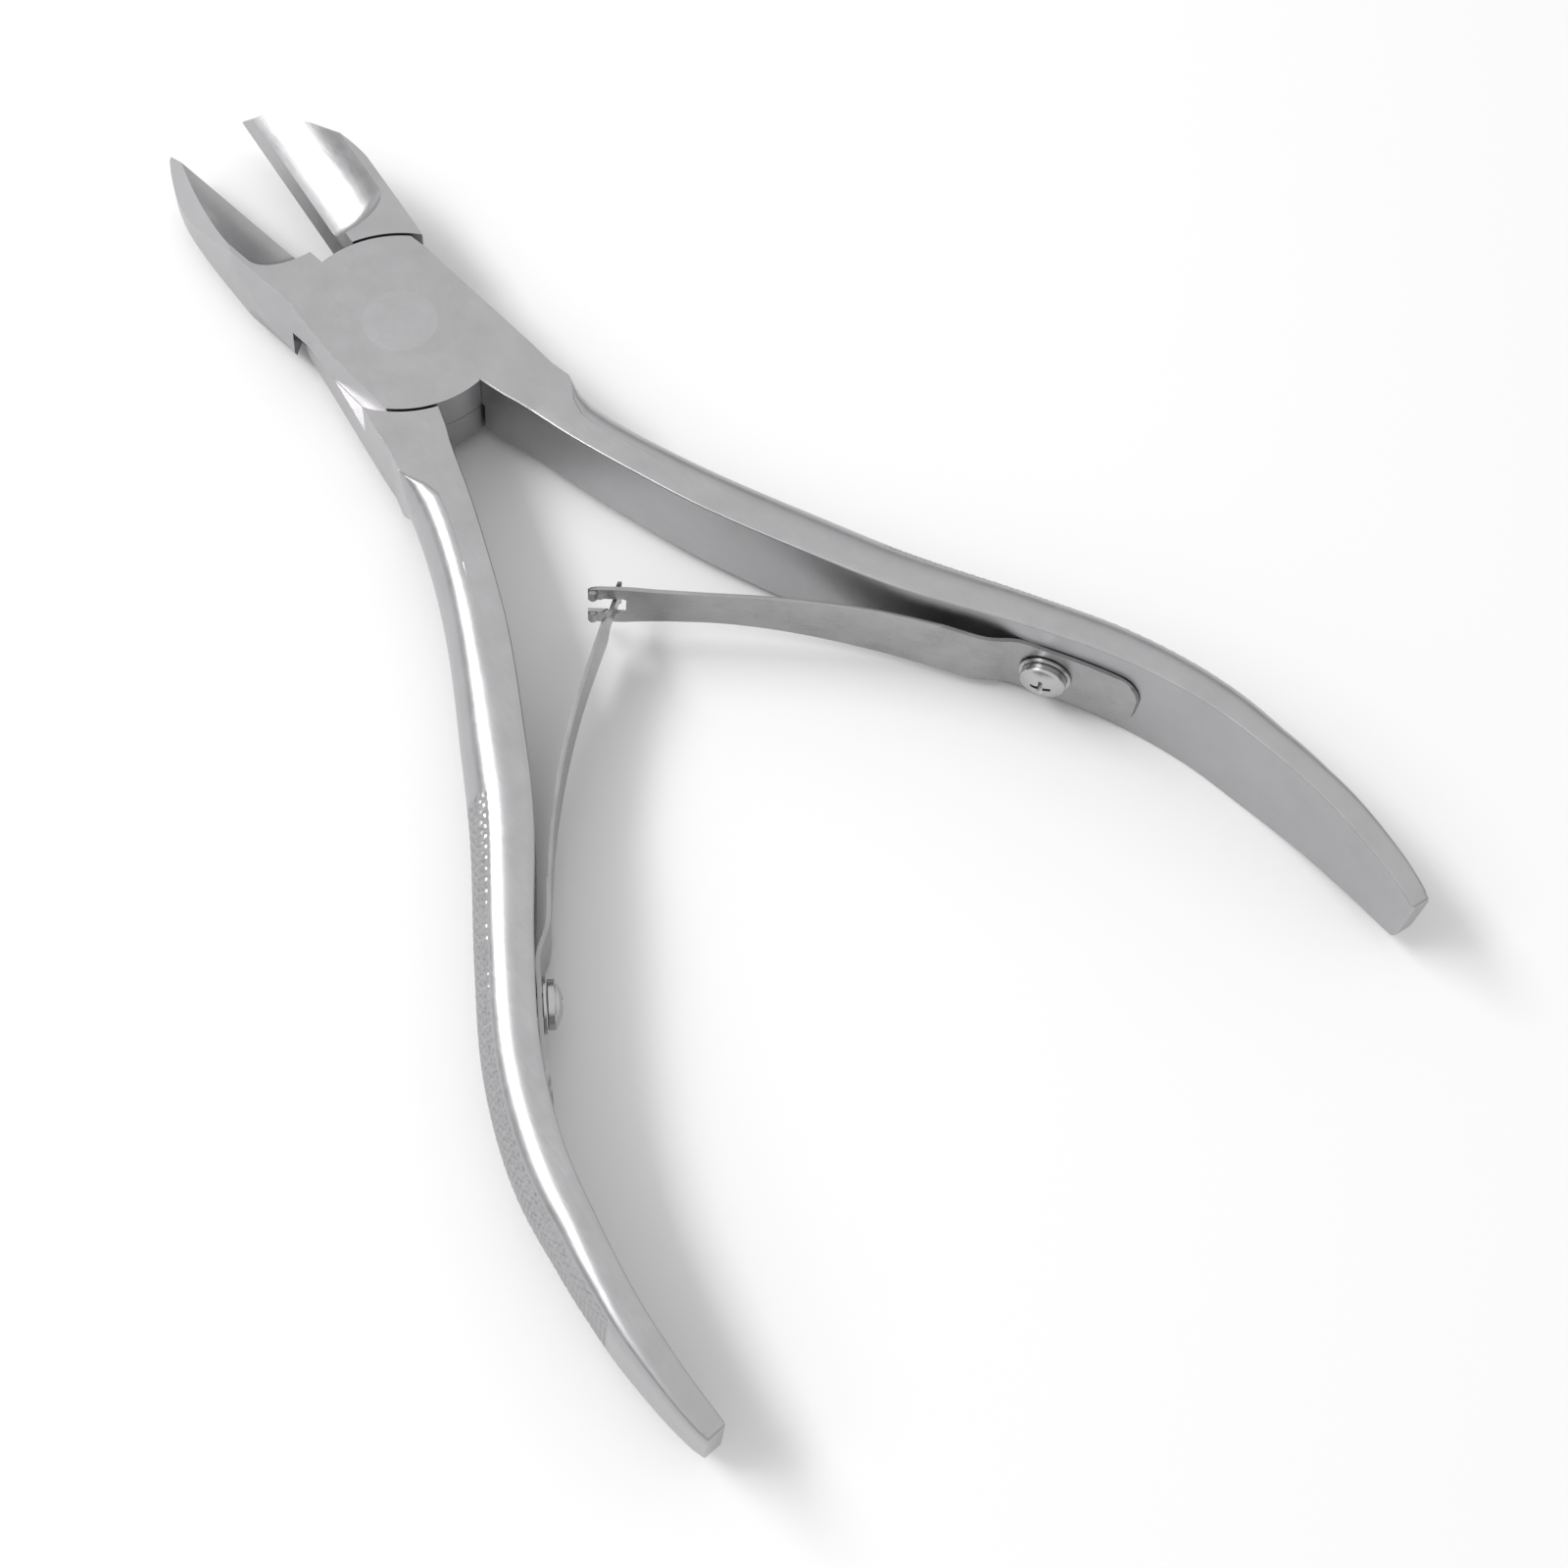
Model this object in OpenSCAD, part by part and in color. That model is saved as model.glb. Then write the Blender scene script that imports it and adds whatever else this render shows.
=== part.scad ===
// Lap-jointed nippers with two interlocking leaf springs.
// Frame: the pivot axis is Z, the jaws point along +Y, the handles run to -Y,
// z = 0 is the ground back face of the joint. Drawn with the jaws sprung open.

/* [Joint] */
// Thickness of the joint, through both laps
joint_t = 7; // [6:0.5:9]
// Radius of the round lap faces
lap_r = 9.5; // [9:0.1:10]
// Gap between a lap and the shoulder around it
shoulder_gap = 0.3; // [0.2:0.05:0.5]
// Gap between the two lap faces
lap_gap = 0.06; // [0.04:0.02:0.12]
// Width of the joint plate on its handle side, from the pivot
plate_out = 7; // [6.6:0.1:7.4]
// Angle the jaws stand open at rest
open_angle = 14; // [12:0.5:14.5]

/* [Jaws] */
// Distance from the pivot to the tips
jaw_len = 31.3; // [29:0.1:33]
// Height of the cutting edge above the back face
edge_z = 2; // [1.4:0.1:2.4]
// Gap left between the cutting edges when shut, each side
edge_gap = 0.02; // [0.02:0.01:0.05]
// Width of the sloping land above the cutting edge
land_w = 0.55; // [0.3:0.05:0.7]
// Radius of the hollow grind
hollow_r = 7.5; // [7:0.1:8.5]
// Where the hollow grind stops being straight
hollow_y = 14.2; // [13:0.1:17]
// Length of the hollow's rounded end, as a share of its radius
hollow_end = 0.52; // [0.4:0.02:1]
// Angle by which the cutting line leans towards the left jaw
edge_lean = 2.5; // [0:0.5:3]

/* [Pivot] */
// Radius of the rivet
rivet_r = 2.5; // [2:0.1:3]
// Radial running clearance of the rivet in the back half
rivet_clear = 0.03; // [0.02:0.01:0.06]

/* [Springs] */
// Thickness of each leaf
leaf_t = 0.35; // [0.3:0.05:0.5]
// Width of each leaf at its root
leaf_w = 6.5; // [6:0.5:7.5]
// How far the leaves sit below the middle of the handles
leaf_drop = 0.75; // [0:0.05:1]
// Width of the notch between the fork's prongs
notch_w = 2.5; // [2.2:0.1:3]
// Width of the tongue's neck in the notch
neck_w = 1.8; // [1.4:0.1:2]

/* [Screws] */
// Radius of the pan head
head_r = 2; // [1.8:0.1:2.2]
// Height of the pan head
head_h = 1.25; // [1:0.05:1.5]
// Radius of the washer
washer_r = 2.3; // [2.2:0.1:2.5]
// Radius of the screw's shank
shank_r = 0.95; // [0.9:0.05:1]

/* [Hidden] */

mid = joint_t / 2;
leaf_z = mid - leaf_drop;
half = open_angle / 2;
shoulder_r = lap_r + shoulder_gap;
steel = [0.72, 0.72, 0.73];
spring_steel = [0.62, 0.62, 0.63];

// Inner edge of the handle with the tool shut: [x, y, width, thickness, squareness]
HANDLE = [
  [ 2.00, -14.0, 5.10,  6.94, 9.0],
  [ 2.90, -19.1, 4.90,  7.10, 4.2],
  [ 4.25, -25.1, 4.80,  7.50, 2.8],
  [ 6.15, -32.3, 5.05,  8.00, 2.5],
  [ 9.10, -40.6, 5.25,  8.50, 2.4],
  [12.55, -49.1, 5.20,  9.00, 2.4],
  [17.50, -58.5, 4.75,  9.50, 2.4],
  [21.05, -66.3, 4.55,  9.90, 2.4],
  [23.10, -73.7, 4.25, 10.20, 2.4],
  [23.75, -80.3, 3.65, 10.10, 2.6],
  [23.90, -86.6, 3.00,  9.20, 3.6],
  [23.45, -92.2, 2.50,  7.90, 5.0],
  [22.90, -95.8, 2.20,  6.60, 5.0],
  [22.60, -97.4, 1.80,  5.60, 5.0]];

// Outer side of each jaw: [distance from the cutting line, y]
JAW_L = [[6.4, 5], [6.3, 9], [6.0, 13], [5.4, 17], [4.7, 21], [3.8, 24.8], [2.7, 27.6], [1.4, 29.9], [0.45, 31.2]];
JAW_R = [[6.3, 5], [6.4, 9], [6.5, 13], [6.5, 16.5], [6.2, 19.2], [5.4, 22.2], [4.0, 25.9], [2.0, 29.0], [0.45, 31.2]];

// Centre line of a leaf's free length, open, from the tip
ARM = [[0, -32.4], [4.1, -35.5], [8.6, -39.1], [12.9, -43.1], [16.7, -47.2], [19.8, -51.1], [22.2, -54.4]];
// Where a leaf flexes, as a turning point
FLEX = [21.0, -52.75];

// Smooth cubic through four rows of numbers
function cr(a, b, c, d, t) = 0.5 * ((2 * b) + (c - a) * t + (2 * a - 5 * b + 4 * c - d) * t * t + (3 * b - a - 3 * c + d) * t * t * t);
function pick(L, i) = L[min(max(i, 0), len(L) - 1)];
function at(L, s) = let (i = min(floor(s), len(L) - 2), t = s - i) cr(pick(L, i - 1), L[i], L[i + 1], pick(L, i + 2), t);
function smooth(L, n) = [for (k = [0 : n * (len(L) - 1)]) at(L, k / n)];
function xy(p) = [p[0], p[1]];
function unit(v) = v / norm(v);
function turn(p, a) = [p[0] * cos(a) - p[1] * sin(a), p[0] * sin(a) + p[1] * cos(a)];
function left_of(v) = [-v[1], v[0]];

// Handle stations, and the frame at each
hs_n = 3;
function h_tan(s) = unit(xy(at(HANDLE, min(s + 0.05, len(HANDLE) - 1))) - xy(at(HANDLE, max(s - 0.05, 0))));
// One D-shaped section: flat towards the palm gap, round towards the hand
sec_n = 6;
function half_sec(w, h, m) = [for (k = [0 : sec_n]) let (a = 90 * k / sec_n, f = m > 5 ? 0.72 : 0.30)
    [f * w + (1 - f) * w * pow(sin(a), 2 / m), h / 2 * pow(cos(a), 2 / m)]];
function section(w, h, m) = let (q = half_sec(w, h, m)) concat(
    [[0, -h / 2 + 0.25], [0, h / 2 - 0.25], [0.25, h / 2]],
    q, [for (k = [sec_n - 1 : -1 : 0]) [q[k][0], -q[k][1]]], [[0.25, -h / 2]]);
function ring(s) = let (p = at(HANDLE, s), t = h_tan(s), n = left_of(t))
    [for (q = section(p[2], p[3], p[4])) [p[0] + n[0] * q[0], p[1] + n[1] * q[0], mid + q[1]]];

// Skin through equal rings, closed at both ends
module skin(rings) {
  m = len(rings[0]);
  r = len(rings);
  pts = [for (k = rings) for (p = k) p];
  faces = concat(
    [[for (j = [m - 1 : -1 : 0]) j]],
    [for (i = [0 : r - 2]) for (j = [0 : m - 1]) [i * m + j, (i + 1) * m + (j + 1) % m, (i + 1) * m + j]],
    [for (i = [0 : r - 2]) for (j = [0 : m - 1]) [i * m + j, i * m + (j + 1) % m, (i + 1) * m + (j + 1) % m]],
    [[for (j = [0 : m - 1]) (r - 1) * m + j]]);
  polyhedron(points = pts, faces = faces, convexity = 8);
}

module grip() {
  skin([for (k = [0 : hs_n * (len(HANDLE) - 1)]) ring(k / hs_n)]);
}

// Screw place on the shut handle: station, point on the inner face, inward direction
screw_s = 6.35;
scr_p = xy(at(HANDLE, screw_s));
scr_t = h_tan(screw_s);
scr_n = -left_of(scr_t);
scr_a = atan2(scr_n[1], scr_n[0]);
module at_screw() {
  translate([scr_p[0], scr_p[1], leaf_z]) rotate([0, 0, scr_a]) rotate([0, 90, 0]) children();
}

// Outline of the joint plate, on the side that carries this half's handle
module plate_2d() {
  polygon([[-5.6, 12.5], [-6.4, 5], [-6.9, 1], [-7.0, -6.5], [-7.0, -12], [1.0, -12], [1.0, -9.2],
           [2.0, -14.6], [2.15, -15.6], [7.35, -15.8], [6.95, -13.5], [plate_out, 5], [6.6, 9], [0, 12.5]]);
}
module root_2d() {
  polygon([[1.0, -9.2], [1.97, -14.6], [2.17, -15.6], [7.35, -15.8], [6.95, -13.5], [plate_out, -5], [4, -5]]);
}

// Jaw on the -X side, cutting line on x = 0: outer outline L, width at the top face, hollow's axis at x = hx
module jaw(L, top, hx, swage) {
  difference() {
    intersection() {
      linear_extrude(height = joint_t)
        polygon(concat([[-edge_gap, 4], [-edge_gap, jaw_len]], [for (p = [for (k = [8 * 4 : -1 : 0]) at(L, k / 4)]) [-p[0], p[1]]]));
      translate([0, 40, 0]) rotate([90, 0, 0]) linear_extrude(height = 36)
        polygon([[-edge_gap, edge_z], [-land_w, edge_z + 1.9], [-land_w, joint_t], [-top, joint_t],
                 [-top - 0.8, 1.2], [-top - 0.3, 0], [-1.1, 0]]);
    }
    // hollow grind: straight along the edge, with a short rounded end at the joint
    translate([hx, hollow_y, 11.2]) rotate([-90, 0, 0]) cylinder(r = hollow_r, h = 30, $fn = 96);
    translate([hx, hollow_y, 11.2]) scale([1, hollow_end, 1]) sphere(r = hollow_r, $fn = 96);
    // the tip: a sloping facet along the outside, or a short slope at the end only
    if (swage) translate([-2.4, 21.9, joint_t]) rotate([0, 60, 151.5]) translate([-30, -30, 0]) cube([60, 60, 20]);
    else translate([-8, jaw_len + 0.1, edge_z]) rotate([45, 0, 0]) translate([0, 0, -10]) cube([9, 10, 20]);
  }
}

// Full outline of one shut half, before the lap is cut
module half_blank(lean, L, top, hx, swage) {
  rotate([0, 0, lean]) jaw(L, top, hx, swage);
  linear_extrude(height = joint_t) root_2d();
  grip();
}

module screw_bore() {
  at_screw() translate([0, 0, -3.4]) cylinder(r = shank_r + 0.03, h = 5, $fn = 48);
}

// Front lap, the left jaw and the right handle
module front_half() {
  color(steel) rotate([0, 0, half]) difference() {
    union() {
      difference() {
        half_blank(edge_lean, JAW_L, 5.6, 1.1, true);
        translate([0, 0, -3]) cylinder(r = shoulder_r, h = mid + lap_gap / 2 + 3, $fn = 128);
      }
      translate([0, 0, mid + lap_gap / 2]) linear_extrude(height = mid - lap_gap / 2) intersection() {
        plate_2d();
        circle(r = lap_r, $fn = 128);
      }
    }
    translate([0, 0, -1]) cylinder(r = rivet_r, h = joint_t + 2, $fn = 64);
    translate([0, 0, joint_t - 0.8]) cylinder(r1 = rivet_r, r2 = rivet_r + 0.8, h = 0.8, $fn = 64);
    screw_bore();
  }
}

// Back lap, the right jaw and the left handle
module back_half() {
  color(steel) rotate([0, 0, -half]) mirror([1, 0, 0]) difference() {
    union() {
      difference() {
        half_blank(-edge_lean, JAW_R, 6.4, 0.6, false);
        translate([0, 0, mid - lap_gap / 2]) cylinder(r = shoulder_r, h = mid + 3, $fn = 128);
      }
      linear_extrude(height = mid - lap_gap / 2) intersection() {
        plate_2d();
        circle(r = lap_r, $fn = 128);
      }
    }
    translate([0, 0, -1]) cylinder(r = rivet_r + rivet_clear, h = joint_t + 2, $fn = 64);
    translate([0, 0, -0.001]) cylinder(r1 = rivet_r + 0.84, r2 = rivet_r + rivet_clear, h = 0.85, $fn = 64);
    screw_bore();
  }
}

// Flush rivet, countersunk at both faces
module pivot_rivet() {
  color(steel) union() {
    cylinder(r = rivet_r, h = joint_t, $fn = 64);
    cylinder(r1 = rivet_r + 0.78, r2 = rivet_r, h = 0.78, $fn = 64);
    translate([0, 0, joint_t - 0.8]) cylinder(r1 = rivet_r, r2 = rivet_r + 0.8, h = 0.8, $fn = 64);
  }
}

// Leaf centre line, open: free length, then along the handle's inner face
foot_gap = 0.075;
FOOT = [for (s = [6.03, 6.33, 6.65, 7.00, 7.42]) let (p = xy(at(HANDLE, s)), n = -left_of(h_tan(s)))
        turn(p + n * (foot_gap + leaf_t / 2), half)];
LEAF = concat(ARM, FOOT);
LS = smooth(LEAF, 5);
function band(L, t) = let (m = len(L) - 1,
    N = [for (i = [0 : m]) left_of(unit(L[min(i + 1, m)] - L[max(i - 1, 0)])) * t / 2])
    concat([for (i = [0 : m]) L[i] + N[i]], [for (i = [m : -1 : 0]) L[i] - N[i]]);

// The leaf's points on either side of the flex point
flex_gap = 0.05;
flex_t = unit([22.2, -54.4] - [19.8, -51.1]);
ARM_L = concat([for (p = LS) if ((p - FLEX) * flex_t < -0.3) p], [FLEX - flex_t * flex_gap]);
FOOT_L = concat([FLEX + flex_t * flex_gap], [for (p = LS) if ((p - FLEX) * flex_t > 0.3) p]);

// Side shape of a leaf, by distance along -Y from the tip: half widths
tip_y = -32.4;
module leaf_side(head) {
  translate([-60, 0, 0]) rotate([90, 0, 90]) linear_extrude(height = 120)
    polygon(concat(
      [for (p = head) p],
      [[tip_y - 2.0, leaf_z + 2.3], [tip_y - 5, leaf_z + 2.1], [tip_y - 9, leaf_z + 2.4], [tip_y - 14, leaf_z + 3.0], [tip_y - 19, leaf_z + leaf_w / 2],
       [tip_y - 31.9, leaf_z + leaf_w / 2], [tip_y - 33.0, leaf_z + leaf_w / 2 - 0.8], [tip_y - 33.5, leaf_z + leaf_w / 2 - 2.2],
       [tip_y - 33.5, leaf_z - leaf_w / 2 + 2.2], [tip_y - 33.0, leaf_z - leaf_w / 2 + 0.8], [tip_y - 31.9, leaf_z - leaf_w / 2],
       [tip_y - 19, leaf_z - leaf_w / 2], [tip_y - 14, leaf_z - 3.0], [tip_y - 9, leaf_z - 2.4], [tip_y - 5, leaf_z - 2.1], [tip_y - 2.0, leaf_z - 2.3]],
      [for (k = [len(head) - 1 : -1 : 0]) [head[k][0], 2 * leaf_z - head[k][1]]]));
}

// Fork: two prongs that run on past the crossing
tip_dir = unit(ARM[0] - ARM[1]);
FORK_END = [[0, -32.4] + tip_dir * 2.3];
module fork_arm_blank() {
  intersection() {
    translate([0, 0, -1]) linear_extrude(height = joint_t + 2) polygon(band(concat(FORK_END, ARM_L), leaf_t));
    leaf_side([[tip_y + 3, leaf_z + 1.9], [tip_y + 0.9, leaf_z + 2.5], [tip_y - 0.5, leaf_z + 2.6]]);
  }
}
module fork_leaf_arm() {
  color(spring_steel) difference() {
    fork_arm_blank();
    // the notch runs from behind the crossing out through the tip
    translate([-6, tip_y - 0.72, leaf_z - notch_w / 2]) cube([9, 6, notch_w]);
  }
}
module foot_hole() {
  rotate([0, 0, half]) at_screw() translate([0, 0, -1]) cylinder(r = shank_r + 0.1, h = 3, $fn = 48);
}
module foot() {
  difference() {
    intersection() {
      translate([0, 0, -1]) linear_extrude(height = joint_t + 2) polygon(band(FOOT_L, leaf_t));
      leaf_side([[tip_y - 1, leaf_z + 2]]);
    }
    foot_hole();
  }
}
module fork_leaf_foot() {
  color(spring_steel) foot();
}

// Tongue: a neck through the notch and a wider head beyond it
module tongue_leaf_arm() {
  color(spring_steel) mirror([1, 0, 0]) intersection() {
    translate([0, 0, -1]) linear_extrude(height = joint_t + 2)
      polygon(band(concat([[0, -32.4] + tip_dir * 2.1], ARM_L), leaf_t));
    leaf_side([[tip_y + 3, leaf_z + 1.6], [tip_y + 1.0, leaf_z + 2.1], [tip_y + 0.62, leaf_z + 2.1], [tip_y + 0.6, leaf_z + neck_w / 2],
               [tip_y - 1.1, leaf_z + neck_w / 2], [tip_y - 1.6, leaf_z + 2.2]]);
  }
}
module tongue_leaf_foot() {
  color(spring_steel) mirror([1, 0, 0]) foot();
}

// Thin washer on the leaf
seat = foot_gap + leaf_t + 0.07;
module washer() {
  rotate([0, 0, half]) at_screw() translate([0, 0, seat]) difference() {
    cylinder(r = washer_r, h = 0.3, $fn = 64);
    translate([0, 0, -1]) cylinder(r = shank_r + 0.1, h = 3, $fn = 48);
  }
}
module fork_washer() { color(steel) washer(); }
module tongue_washer() { color(steel) mirror([1, 0, 0]) washer(); }

// Pan-head screw with a cross recess
module screw() {
  rotate([0, 0, half]) at_screw() translate([0, 0, seat + 0.32]) difference() {
    union() {
      translate([0, 0, -3.9]) cylinder(r = shank_r, h = 4.2, $fn = 48);
      rotate_extrude($fn = 64) intersection() {
        square([head_r, head_h]);
        translate([0, head_h - 3.1]) circle(r = 3.1, $fn = 96);
      }
    }
    translate([0, 0, head_h - 0.7]) for (a = [0, 90]) rotate([0, 0, a]) translate([-1.15, -0.2, 0]) cube([2.3, 0.4, 1]);
  }
}
module fork_screw() { color(steel) screw(); }
module tongue_screw() { color(steel) mirror([1, 0, 0]) screw(); }

front_half();
back_half();
pivot_rivet();
fork_leaf_foot();
fork_leaf_arm();
tongue_leaf_foot();
tongue_leaf_arm();
fork_screw();
tongue_screw();
fork_washer();
tongue_washer();
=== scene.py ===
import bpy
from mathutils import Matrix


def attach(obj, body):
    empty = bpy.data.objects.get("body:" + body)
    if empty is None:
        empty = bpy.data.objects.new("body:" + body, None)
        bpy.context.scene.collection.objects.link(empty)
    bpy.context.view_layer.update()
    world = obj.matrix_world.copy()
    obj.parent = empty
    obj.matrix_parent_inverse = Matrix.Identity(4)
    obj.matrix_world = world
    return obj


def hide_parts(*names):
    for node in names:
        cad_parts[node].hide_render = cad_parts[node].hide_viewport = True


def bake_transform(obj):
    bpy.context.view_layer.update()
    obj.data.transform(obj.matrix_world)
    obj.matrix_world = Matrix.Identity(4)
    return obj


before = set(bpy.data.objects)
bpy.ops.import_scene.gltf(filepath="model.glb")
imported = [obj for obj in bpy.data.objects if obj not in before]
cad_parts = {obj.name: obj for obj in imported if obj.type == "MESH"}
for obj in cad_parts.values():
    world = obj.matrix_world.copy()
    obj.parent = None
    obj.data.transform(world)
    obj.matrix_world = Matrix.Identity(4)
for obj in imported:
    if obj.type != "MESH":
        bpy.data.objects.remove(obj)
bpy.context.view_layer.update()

import math
import bpy
import bmesh
import numpy as np
from mathutils import Matrix, Vector

# ---------------------------------------------------------------- sizes, mm
HALF = 7.0                      # each half stands this far from shut, degrees
JT, MID = 7.0, 3.5              # joint thickness, middle plane
LAP_R, SH_R, LAP_GAP = 9.5, 9.8, 0.06
LEAN = 2.5                      # lean of the cutting line towards the left jaw, degrees
EDGE_Z, HOLLOW_R, HOLLOW_Y, HOLLOW_K, HOLLOW_Z = 2.0, 7.5, 14.2, 0.52, 11.2
JAW_L = [[6.4, 5], [6.3, 9], [6.0, 13], [5.4, 17], [4.7, 21], [3.8, 24.8], [2.7, 27.6], [1.4, 29.9], [0.45, 31.2]]
JAW_R = [[6.3, 5], [6.4, 9], [6.5, 13], [6.5, 16.5], [6.2, 19.2], [5.4, 22.2], [4.0, 25.9], [2.0, 29.0], [0.45, 31.2]]
# outline, width at the top face, hollow's axis, lean in the frame the half is drawn in
JAWS = {"front": (JAW_L, 5.6, 1.1, LEAN), "back": (JAW_R, 6.4, 0.6, -LEAN)}
LAND = 0.55
HANDLE = np.array([
    [2.00, -14.0, 5.10, 6.94], [2.90, -19.1, 4.90, 7.10], [4.25, -25.1, 4.80, 7.50], [6.15, -32.3, 5.05, 8.00],
    [9.10, -40.6, 5.25, 8.50], [12.55, -49.1, 5.20, 9.00], [17.50, -58.5, 4.75, 9.50], [21.05, -66.3, 4.55, 9.90],
    [23.10, -73.7, 4.25, 10.20], [23.75, -80.3, 3.65, 10.10], [23.90, -86.6, 3.00, 9.20], [23.45, -92.2, 2.50, 7.90],
    [22.90, -95.8, 2.20, 6.60], [22.60, -97.4, 1.80, 5.60]])
ARM = [[0, -32.4], [4.1, -35.5], [8.6, -39.1], [12.9, -43.1], [16.7, -47.2], [19.8, -51.1], [22.2, -54.4]]
FOOT_S = [6.03, 6.33, 6.65, 7.00, 7.42]
FOOT_GAP, LEAF_T, LEAF_W, LEAF_Z = 0.075, 0.35, 6.5, MID - 0.75
SCREW_S = 6.35


# ---------------------------------------------------------------- small maths
def cr(L, s):
    """Cubic through the rows of L, at station s; straight on past either end."""
    L = np.asarray(L, float)
    i = int(min(max(math.floor(s), 0), len(L) - 2))
    t = s - i
    g = lambda k: L[min(max(k, 0), len(L) - 1)]
    a, b, c, d = g(i - 1), g(i), g(i + 1), g(i + 2)
    return 0.5 * (2 * b + (c - a) * t + (2 * a - 5 * b + 4 * c - d) * t * t + (3 * b - a - 3 * c + d) * t ** 3)


def turn(P, deg):
    a = math.radians(deg)
    P = np.atleast_2d(np.asarray(P, float))
    Q = P.copy()
    Q[:, 0] = P[:, 0] * math.cos(a) - P[:, 1] * math.sin(a)
    Q[:, 1] = P[:, 0] * math.sin(a) + P[:, 1] * math.cos(a)
    return Q


def smoothstep(a, b, x):
    t = min(max((x - a) / (b - a), 0.0), 1.0)
    return t * t * (3 - 2 * t)


def h_tan(s):
    v = cr(HANDLE, s + 0.05)[:2] - cr(HANDLE, s - 0.05)[:2]
    return v / np.linalg.norm(v)


# ---------------------------------------------------------------- mesh tools, all in mm until the end
def make(name, verts, faces):
    me = bpy.data.meshes.new(name)
    me.from_pydata([tuple(map(float, v)) for v in verts], [], [tuple(map(int, f)) for f in faces])
    me.update()
    ob = bpy.data.objects.new(name, me)
    bpy.context.scene.collection.objects.link(ob)
    bm = bmesh.new()
    bm.from_mesh(me)
    bmesh.ops.recalc_face_normals(bm, faces=bm.faces)
    bm.to_mesh(me)
    bm.free()
    return ob


def prism(name, poly, lo, hi, axis="z"):
    n = len(poly)
    f = {"z": lambda p, h: (p[0], p[1], h), "y": lambda p, h: (p[0], h, p[1]), "x": lambda p, h: (h, p[0], p[1])}[axis]
    v = [f(p, lo) for p in poly] + [f(p, hi) for p in poly]
    faces = [list(range(n))[::-1], list(range(n, 2 * n))] + [[i, (i + 1) % n, n + (i + 1) % n, n + i] for i in range(n)]
    return make(name, v, faces)


def lathe(name, prof, n=96, M=None):
    """Closed solid of revolution about Z from a profile of (r, z) rows that starts and ends on the axis."""
    v, rings = [], []
    for r, z in prof:
        if r < 1e-9:
            rings.append([len(v)])
            v.append((0, 0, z))
        else:
            rings.append(list(range(len(v), len(v) + n)))
            v += [(r * math.cos(2 * math.pi * k / n), r * math.sin(2 * math.pi * k / n), z) for k in range(n)]
    faces = []
    for a, b in zip(rings[:-1], rings[1:]):
        for k in range(n):
            if len(a) == 1 and len(b) > 1:
                faces.append([a[0], b[k], b[(k + 1) % n]])
            elif len(b) == 1 and len(a) > 1:
                faces.append([a[k], b[0], a[(k + 1) % n]])
            elif len(a) > 1:
                faces.append([a[k], b[k], b[(k + 1) % n], a[(k + 1) % n]])
    ob = make(name, v, faces)
    if M is not None:
        ob.data.transform(M)
    return ob


def boole(a, b, op):
    m = a.modifiers.new("cut", "BOOLEAN")
    m.operation, m.object, m.solver = op, b, "MANIFOLD"
    bpy.context.view_layer.update()
    me = bpy.data.meshes.new_from_object(a.evaluated_get(bpy.context.evaluated_depsgraph_get()))
    if len(me.polygons) == 0:
        raise RuntimeError("boolean " + op + " on " + a.name + " left nothing")
    a.modifiers.clear()
    old = a.data
    a.data = me
    bpy.data.meshes.remove(old)
    bpy.data.objects.remove(b)
    return a


def soften(ob, width, want, segments=2, sharp=26.0, flat=0.15):
    """Merge flat neighbours, then round the sharp edges for which want(midpoint, angle) says how much."""
    bm = bmesh.new()
    bm.from_mesh(ob.data)
    bmesh.ops.remove_doubles(bm, verts=bm.verts, dist=1e-4)
    E = [e for e in bm.edges if want((e.verts[0].co + e.verts[1].co) / 2) > 0]
    V = list({v for e in E for v in e.verts})
    bmesh.ops.dissolve_limit(bm, angle_limit=math.radians(flat), verts=V, edges=E)
    bm.edges.ensure_lookup_table()
    lay = bm.edges.layers.float.get("bevel_weight_edge") or bm.edges.layers.float.new("bevel_weight_edge")
    sel = []
    for e in bm.edges:
        if len(e.link_faces) == 2 and e.calc_face_angle(0) > math.radians(sharp):
            w = want((e.verts[0].co + e.verts[1].co) / 2)
            if w > 0:
                e[lay] = w
                sel.append(e)
    bm.to_mesh(ob.data)
    bm.free()
    m = ob.modifiers.new("soft", "BEVEL")
    m.limit_method, m.width, m.segments = "WEIGHT", width, segments
    m.offset_type, m.use_clamp_overlap, m.harden_normals = "OFFSET", True, False
    m.miter_outer = "MITER_ARC" if segments > 1 else "MITER_SHARP"
    bpy.context.view_layer.update()
    me = bpy.data.meshes.new_from_object(ob.evaluated_get(bpy.context.evaluated_depsgraph_get()))
    ob.modifiers.clear()
    old = ob.data
    ob.data = me
    bpy.data.meshes.remove(old)
    return ob


def done(ob, body, mats, sharp=32.0, weighted=True):
    """To metres, smooth shading, materials, and onto its body."""
    me = ob.data
    me.materials.clear()
    for m in mats:
        me.materials.append(m)
    me.transform(Matrix.Scale(0.001, 4))
    me.shade_smooth()
    me.set_sharp_from_angle(angle=math.radians(sharp))
    for p in me.polygons:
        if abs(p.normal.z) > 0.999 and p.center.y > -0.0145:
            p.use_smooth = False            # the ground faces are flat
    if weighted:
        w = ob.modifiers.new("normals", "WEIGHTED_NORMAL")
        w.keep_sharp, w.weight, w.mode = True, 50, "FACE_AREA_WITH_ANGLE"
    if body:
        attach(ob, body)
    return ob


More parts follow.
